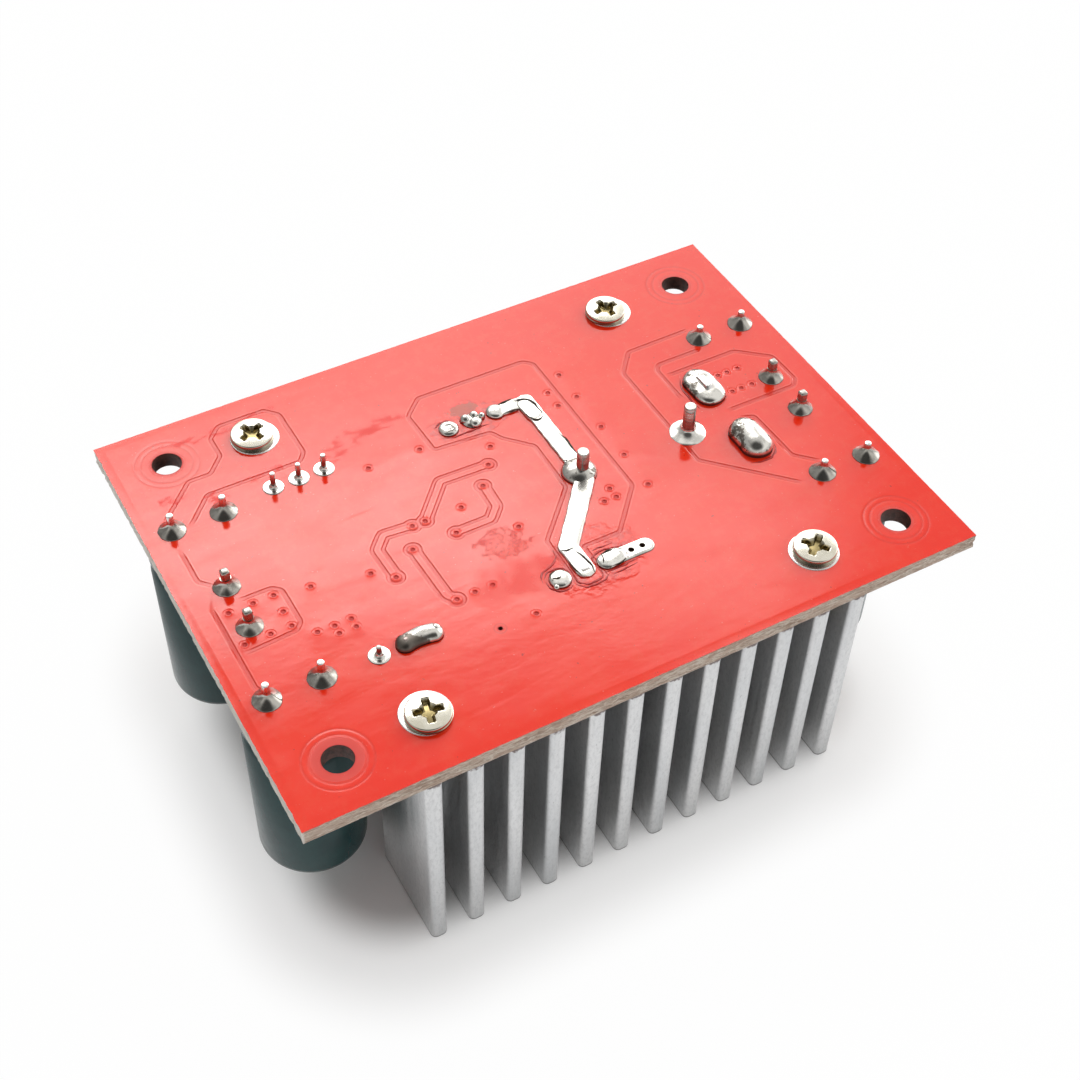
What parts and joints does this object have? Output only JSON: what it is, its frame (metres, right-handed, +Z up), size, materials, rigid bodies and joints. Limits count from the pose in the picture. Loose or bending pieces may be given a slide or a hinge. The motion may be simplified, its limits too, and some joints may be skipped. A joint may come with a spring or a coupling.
{
  "type": "boost converter module",
  "caption": "Voltage boost converter: red board with its solder side up, standing on the fin ends of two comb heatsinks, with capacitors, inductor, fuse and screw terminals below.",
  "frame": {"origin": "on the floor under the middle of the board, at the level of the fin ends it stands on", "axes": "+X along the board towards the input terminals, +Y across it, +Z up, out of the solder side"},
  "size_m": [0.067, 0.048, 0.0301],
  "materials": {
    "board_mask": "glossy red solder mask over copper",
    "fin_aluminium": "bare extruded, fine lines along the fins",
    "pale_nickel": "nickel plated, slightly yellow",
    "black_epoxy": "moulded, fine grain",
    "tinned_copper": "tin plated, soft shine",
    "zinc_steel": "zinc plated",
    "can_aluminium": "drawn, satin",
    "sleeve_film": "shrunk film, dark green, satin shine",
    "seal_rubber": "smooth",
    "block_plastic": "moulded",
    "clamp_brass": "nickel-washed brass",
    "trimmer_plastic": "moulded, low shine",
    "adjuster_brass": "turned",
    "fuse_plastic": "moulded, slightly clear",
    "core_coating": "epoxy coat, yellow with one pale face",
    "enamelled_copper": "clear enamel over copper",
    "chip_black": "ceramic with a dark glaze",
    "chip_ceramic": "fired ceramic",
    "solder": "bright solder"
  },
  "bodies": {
    "module": {"circuit_board": "board_mask", "front_heatsink": "fin_aluminium", "rear_heatsink": "fin_aluminium", "heatsink_screws": "pale_nickel", "transistor_body": "black_epoxy", "transistor_tab": "tinned_copper", "transistor_leads": "tinned_copper", "transistor_screw": "zinc_steel", "rectifier_body": "black_epoxy", "rectifier_tab": "tinned_copper", "rectifier_leads": "tinned_copper", "rectifier_screw": "zinc_steel", "front_output_capacitor_can": "can_aluminium", "front_output_capacitor_sleeve": "sleeve_film", "front_output_capacitor_seal": "seal_rubber", "front_output_capacitor_leads": "tinned_copper", "rear_output_capacitor_can": "can_aluminium", "rear_output_capacitor_sleeve": "sleeve_film", "rear_output_capacitor_seal": "seal_rubber", "rear_output_capacitor_leads": "tinned_copper", "front_input_capacitor_can": "can_aluminium", "front_input_capacitor_sleeve": "sleeve_film", "front_input_capacitor_seal": "seal_rubber", "front_input_capacitor_leads": "tinned_copper", "rear_input_capacitor_can": "can_aluminium", "rear_input_capacitor_sleeve": "sleeve_film", "rear_input_capacitor_seal": "seal_rubber", "rear_input_capacitor_leads": "tinned_copper", "output_block_housing": "block_plastic", "output_block_contacts": "tinned_copper", "input_block_housing": "block_plastic", "input_block_contacts": "tinned_copper", "rear_trimmer_housing": "trimmer_plastic", "rear_trimmer_pins": "tinned_copper", "front_trimmer_housing": "trimmer_plastic", "front_trimmer_pins": "tinned_copper", "fuse_body": "fuse_plastic", "fuse_element": "tinned_copper", "inductor_core": "core_coating", "inductor_winding": "enamelled_copper", "controller_chip": "black_epoxy", "amplifier_chip": "black_epoxy", "shunt_resistor": "chip_black", "chip_resistors": "chip_black", "chip_capacitors": "chip_ceramic", "solder_joints": "solder", "tinned_strips": "solder"},
    "output_front_screw": {"output_front_clamp_screw": "zinc_steel"},
    "output_front_clamp": {"output_front_clamp": "clamp_brass"},
    "output_rear_screw": {"output_rear_clamp_screw": "zinc_steel"},
    "output_rear_clamp": {"output_rear_clamp": "clamp_brass"},
    "input_front_screw": {"input_front_clamp_screw": "zinc_steel"},
    "input_front_clamp": {"input_front_clamp": "clamp_brass"},
    "input_rear_screw": {"input_rear_clamp_screw": "zinc_steel"},
    "input_rear_clamp": {"input_rear_clamp": "clamp_brass"},
    "rear_adjuster": {"rear_trimmer_screw": "adjuster_brass"},
    "front_adjuster": {"front_trimmer_screw": "adjuster_brass"}
  },
  "joints": [
    {"name": "output_front_screw_turn", "type": "hinge", "parent": "module", "child": "output_front_screw", "pos_m": [-0.02895, -0.00279, 0.0155], "axis": [0, 0, 1], "range_deg": [0, 1684]},
    {"name": "output_front_clamp_slide", "type": "slide", "parent": "module", "child": "output_front_clamp", "axis": [0, 0, -1], "range_m": [0, 0.0021]},
    {"name": "output_rear_screw_turn", "type": "hinge", "parent": "module", "child": "output_rear_screw", "pos_m": [-0.02895, 0.00229, 0.0155], "axis": [0, 0, 1], "range_deg": [0, 1684]},
    {"name": "output_rear_clamp_slide", "type": "slide", "parent": "module", "child": "output_rear_clamp", "axis": [0, 0, -1], "range_m": [0, 0.0021]},
    {"name": "input_front_screw_turn", "type": "hinge", "parent": "module", "child": "input_front_screw", "pos_m": [0.02895, -0.00254, 0.0155], "axis": [0, 0, 1], "range_deg": [0, 1684]},
    {"name": "input_front_clamp_slide", "type": "slide", "parent": "module", "child": "input_front_clamp", "axis": [0, 0, -1], "range_m": [0, 0.0021]},
    {"name": "input_rear_screw_turn", "type": "hinge", "parent": "module", "child": "input_rear_screw", "pos_m": [0.02895, 0.00254, 0.0155], "axis": [0, 0, 1], "range_deg": [0, 1684]},
    {"name": "input_rear_clamp_slide", "type": "slide", "parent": "module", "child": "input_rear_clamp", "axis": [0, 0, -1], "range_m": [0, 0.0021]},
    {"name": "rear_adjuster_turn", "type": "hinge", "parent": "module", "child": "rear_adjuster", "pos_m": [-0.02115, 0.01012, 0.015], "axis": [0, 0, 1], "continuous": true},
    {"name": "front_adjuster_turn", "type": "hinge", "parent": "module", "child": "front_adjuster", "pos_m": [-0.02115, -0.00952, 0.015], "axis": [0, 0, 1], "continuous": true}
  ],
  "couplings": [
    {"joint": "output_front_screw_turn", "follows": "output_front_clamp_slide", "rad_per_m": 13963},
    {"joint": "output_rear_screw_turn", "follows": "output_rear_clamp_slide", "rad_per_m": 13963},
    {"joint": "input_front_screw_turn", "follows": "input_front_clamp_slide", "rad_per_m": 13963},
    {"joint": "input_rear_screw_turn", "follows": "input_rear_clamp_slide", "rad_per_m": 13963}
  ]
}
